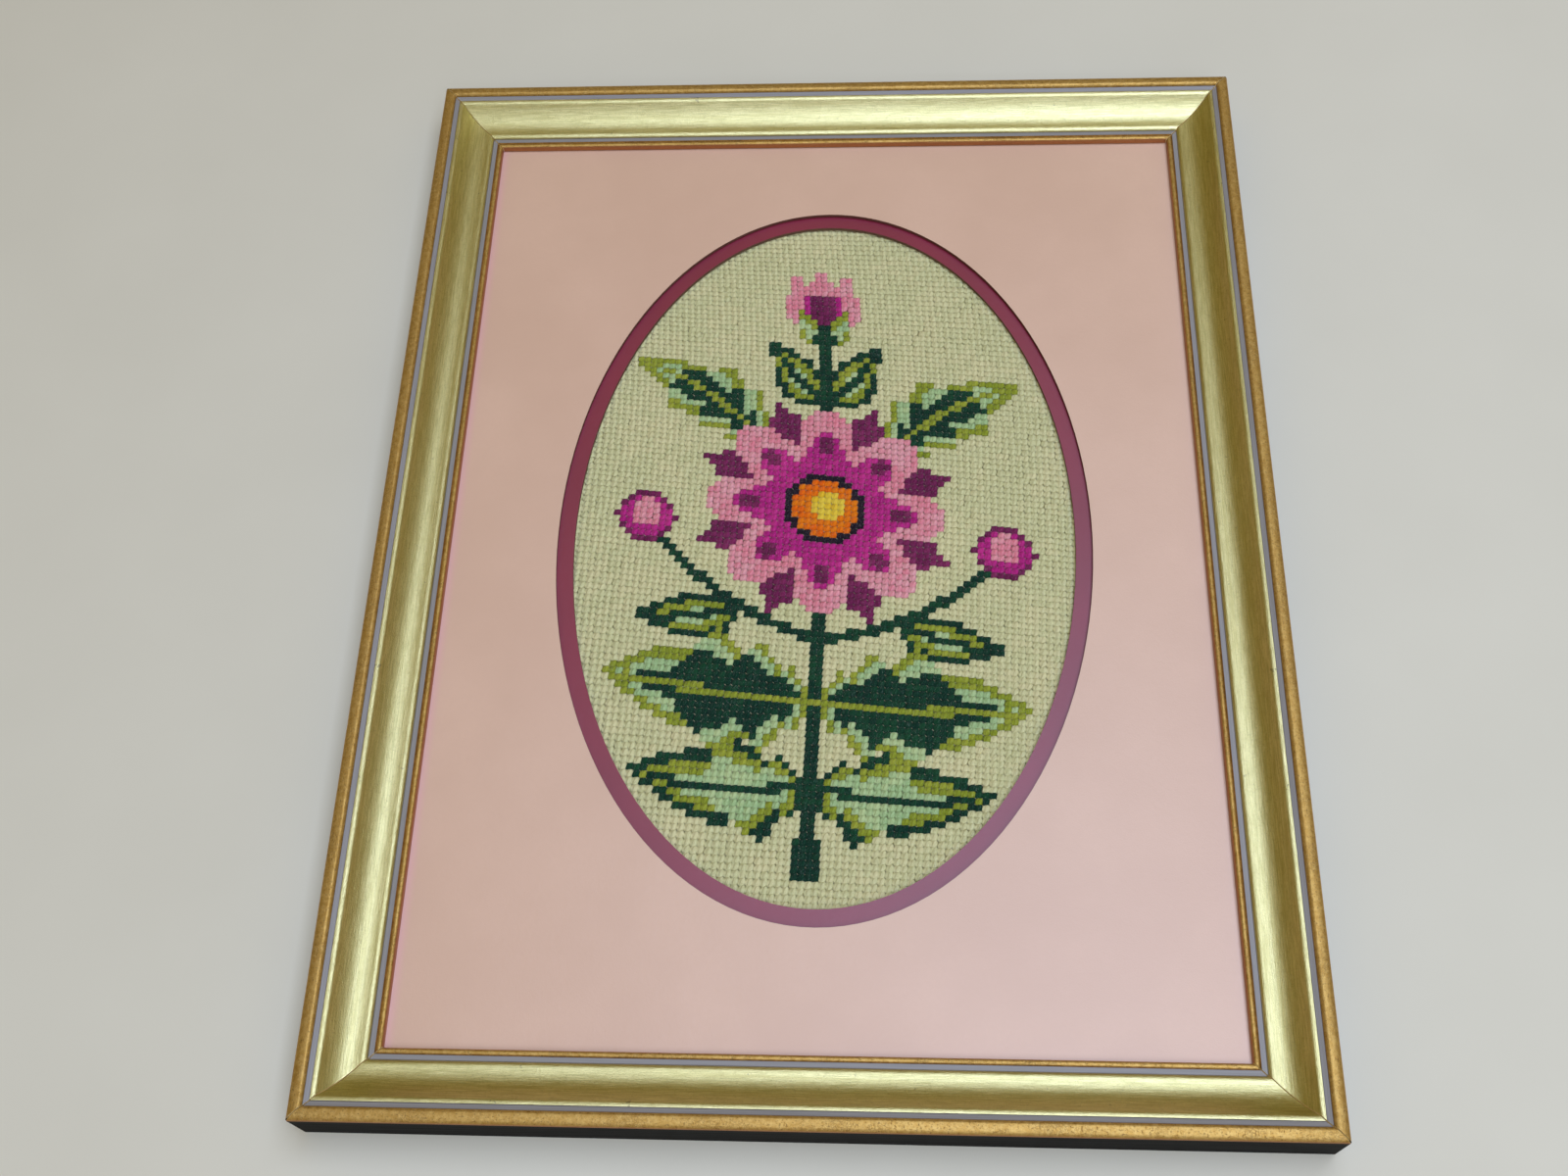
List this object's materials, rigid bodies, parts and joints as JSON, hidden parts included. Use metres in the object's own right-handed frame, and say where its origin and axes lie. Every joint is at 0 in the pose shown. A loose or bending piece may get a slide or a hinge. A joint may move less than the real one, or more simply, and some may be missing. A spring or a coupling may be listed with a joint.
{
  "type": "framed needlepoint canvas panel in a picture frame",
  "caption": "Flat needlepoint canvas shown through the oval windows of a pink and a plum card mat, held in a rectangular gilded moulding picture frame.",
  "frame": {"origin": "centre of the underside of the frame, on the surface it lies on", "axes": "+X to the picture's right, +Y towards the picture's top, +Z out of the picture's face"},
  "size_m": [0.255, 0.331, 0.0175],
  "materials": {
    "gilt_moulding": "gilded, satin with a fine crackle",
    "outer_card": "matte paper face, pale pink",
    "inner_card": "matte paper face, plum",
    "canvas_wool": "wool tent stitch on woven canvas, pale cream green",
    "backing_board": "plain brown board"
  },
  "bodies": {
    "root": {"rail_top": "gilt_moulding", "rail_bottom": "gilt_moulding", "rail_left": "gilt_moulding", "rail_right": "gilt_moulding", "mat_outer": "outer_card", "mat_inner": "inner_card", "canvas": "canvas_wool", "backing": "backing_board"}
  },
  "joints": []
}
